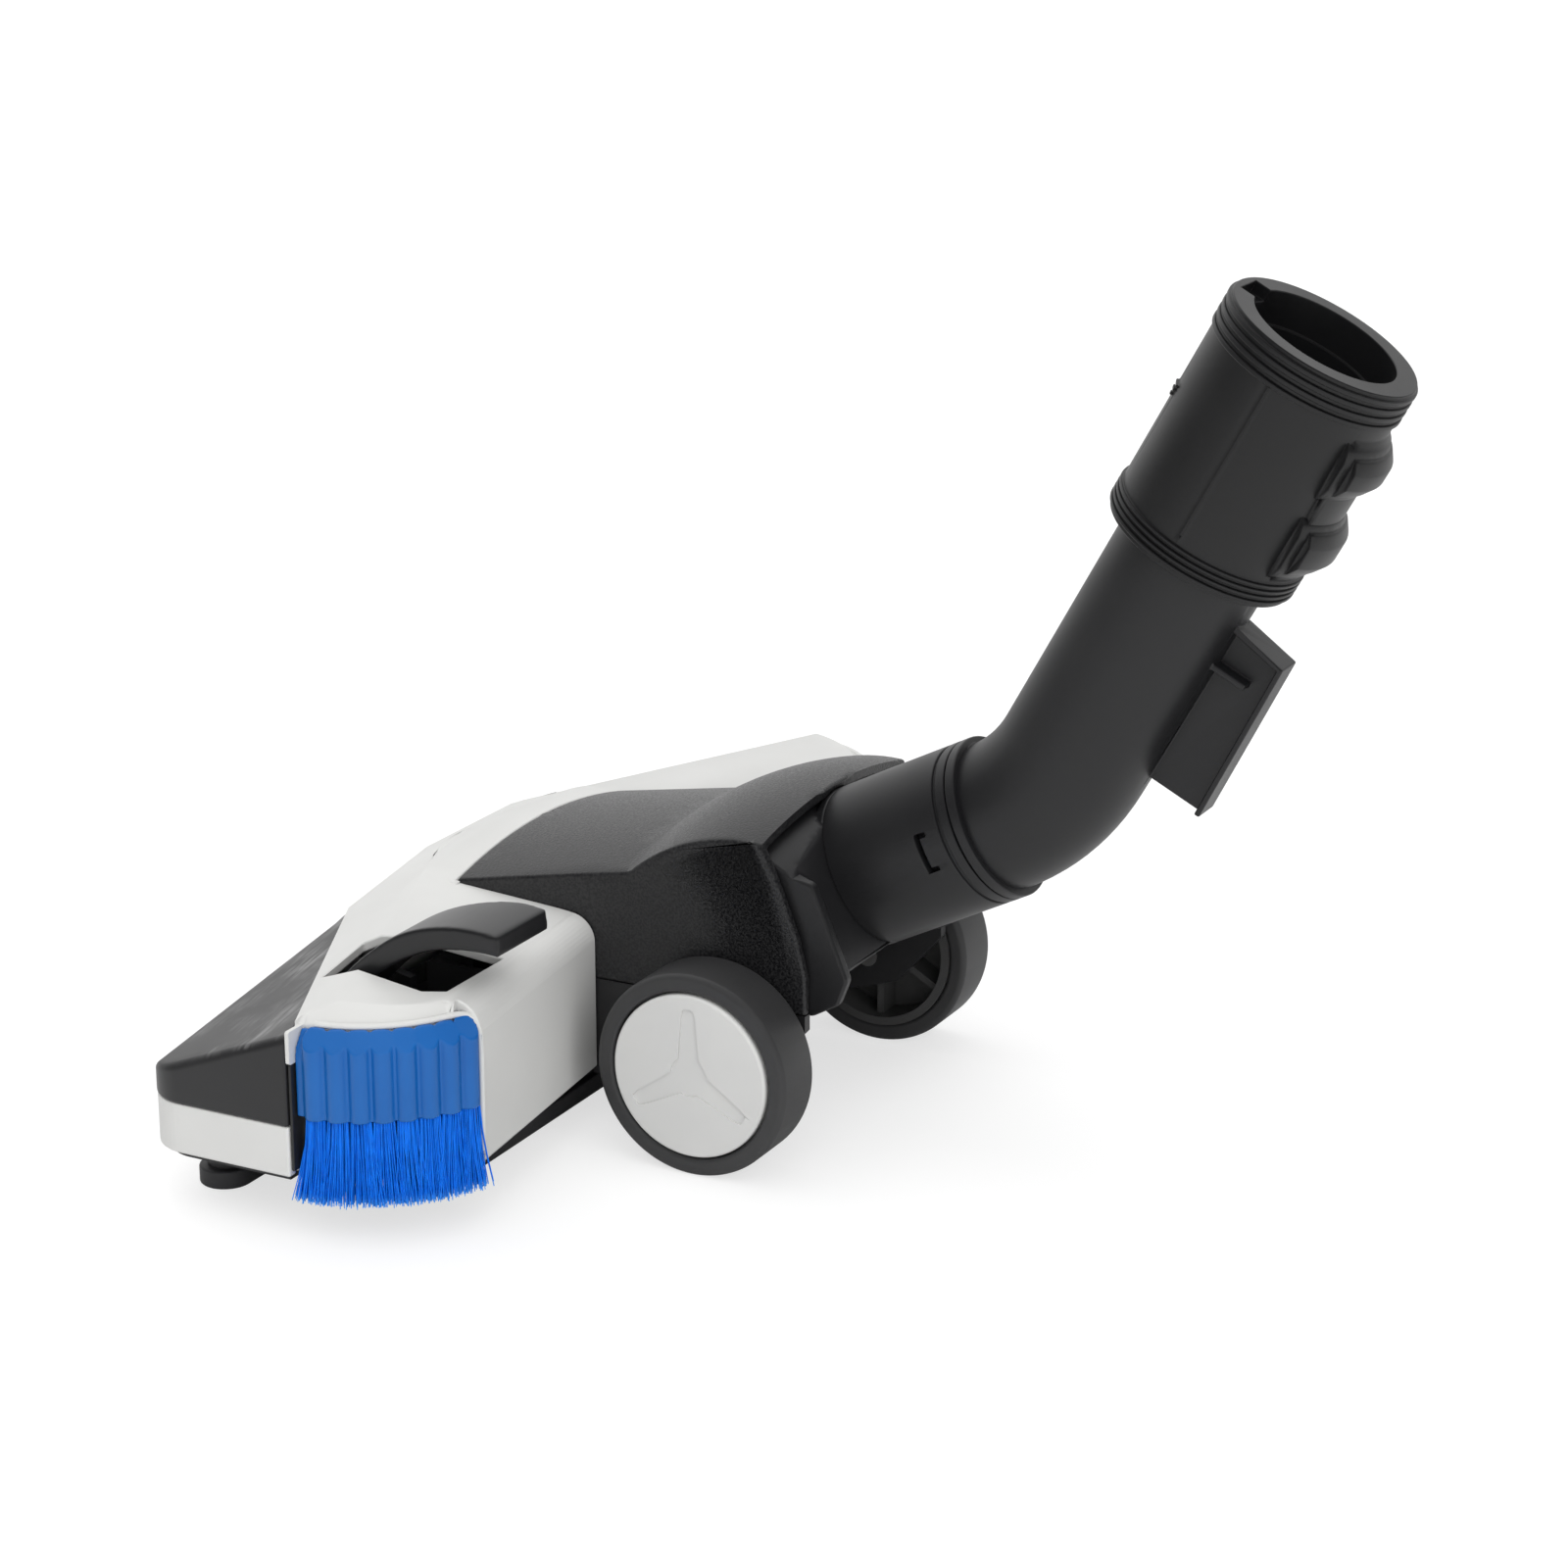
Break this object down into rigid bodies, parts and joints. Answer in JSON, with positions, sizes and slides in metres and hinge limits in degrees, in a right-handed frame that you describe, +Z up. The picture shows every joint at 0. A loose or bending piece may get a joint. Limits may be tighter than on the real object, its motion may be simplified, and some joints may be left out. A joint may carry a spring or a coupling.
{
  "type": "vacuum floor brush head",
  "caption": "Wide vacuum floor head with a foot pedal that lifts the brush strips, side brushes, rear wheels, a tilting neck and a swivelling elbow with a wand socket.",
  "frame": {"origin": "on the floor, in the middle of the overall box", "axes": "+Z up, +Y towards the wand, -Y the front of the head, +X the head's right end"},
  "size_m": [0.2648, 0.2596, 0.2161],
  "materials": {
    "shell_white": "satin light grey moulding",
    "bumper_charcoal": "charcoal soft plastic with scuffs",
    "cover_black": "black with fine grain",
    "black_plastic": "satin black moulding",
    "brush_blue": "blue moulding",
    "bristle_blue": "blue nylon bristles",
    "strip_black": "dense black brush hair",
    "tyre_black": "smooth rubber",
    "cap_grey": "light grey moulding",
    "pin_steel": "turned steel",
    "lifter_red": "short pile tape"
  },
  "bodies": {
    "head": {"upper_housing": "shell_white", "front_bumper": "bumper_charcoal", "lower_skirt": "shell_white", "sole_plate": "black_plastic", "chassis_frame": "black_plastic", "centre_cover": "cover_black", "side_brush_holder_right": "brush_blue", "side_brush_holder_left": "brush_blue", "side_bristles_right": "bristle_blue", "side_bristles_left": "bristle_blue", "pedal_well": "black_plastic", "pedal_pin": "pin_steel", "housing_screws": "pin_steel", "thread_lifter_front": "lifter_red", "thread_lifter_rear": "lifter_red", "axle_pin_right": "pin_steel", "axle_pin_left": "pin_steel"},
    "brush_carriage": {"front_brush_bar": "black_plastic", "rear_brush_bar": "black_plastic", "lift_bridge": "black_plastic", "front_brush_strip": "strip_black", "rear_brush_strip": "strip_black"},
    "pedal": {"floor_pedal": "black_plastic"},
    "wheel_right": {"wheel_tyre_right": "tyre_black", "wheel_hub_right": "black_plastic", "wheel_cap_right": "cap_grey"},
    "wheel_left": {"wheel_tyre_left": "tyre_black", "wheel_hub_left": "black_plastic", "wheel_cap_left": "cap_grey"},
    "neck": {"neck_yoke": "black_plastic", "swivel_sleeve": "black_plastic"},
    "elbow": {"elbow_tube": "black_plastic", "swivel_ring": "black_plastic", "hose_collar": "black_plastic"}
  },
  "joints": [
    {"name": "wheel_spin_right", "type": "hinge", "parent": "head", "child": "wheel_right", "pos_m": [0.05, -0.02093, 0.0255], "axis": [1, 0, 0], "continuous": true},
    {"name": "wheel_spin_left", "type": "hinge", "parent": "head", "child": "wheel_left", "pos_m": [-0.05, -0.02093, 0.0255], "axis": [1, 0, 0], "continuous": true},
    {"name": "neck_tilt", "type": "hinge", "parent": "head", "child": "neck", "pos_m": [0, -0.02093, 0.05], "axis": [1, 0, 0], "range_deg": [-30, 0]},
    {"name": "elbow_swivel", "type": "hinge", "parent": "neck", "child": "elbow", "pos_m": [0, -0.00143, 0.0647], "axis": [0, 0.892, 0.4521], "range_deg": [-90, 90]},
    {"name": "pedal_press", "type": "hinge", "parent": "head", "child": "pedal", "pos_m": [0.094, -0.08993, 0.046], "axis": [-1, 0, 0], "range_deg": [0, 12]},
    {"name": "brush_lift", "type": "slide", "parent": "head", "child": "brush_carriage", "axis": [0, 0, 1], "range_m": [0, 0.006]}
  ],
  "couplings": [
    {"joint": "brush_lift", "follows": "pedal_press", "m_per_rad": 0.0286}
  ]
}
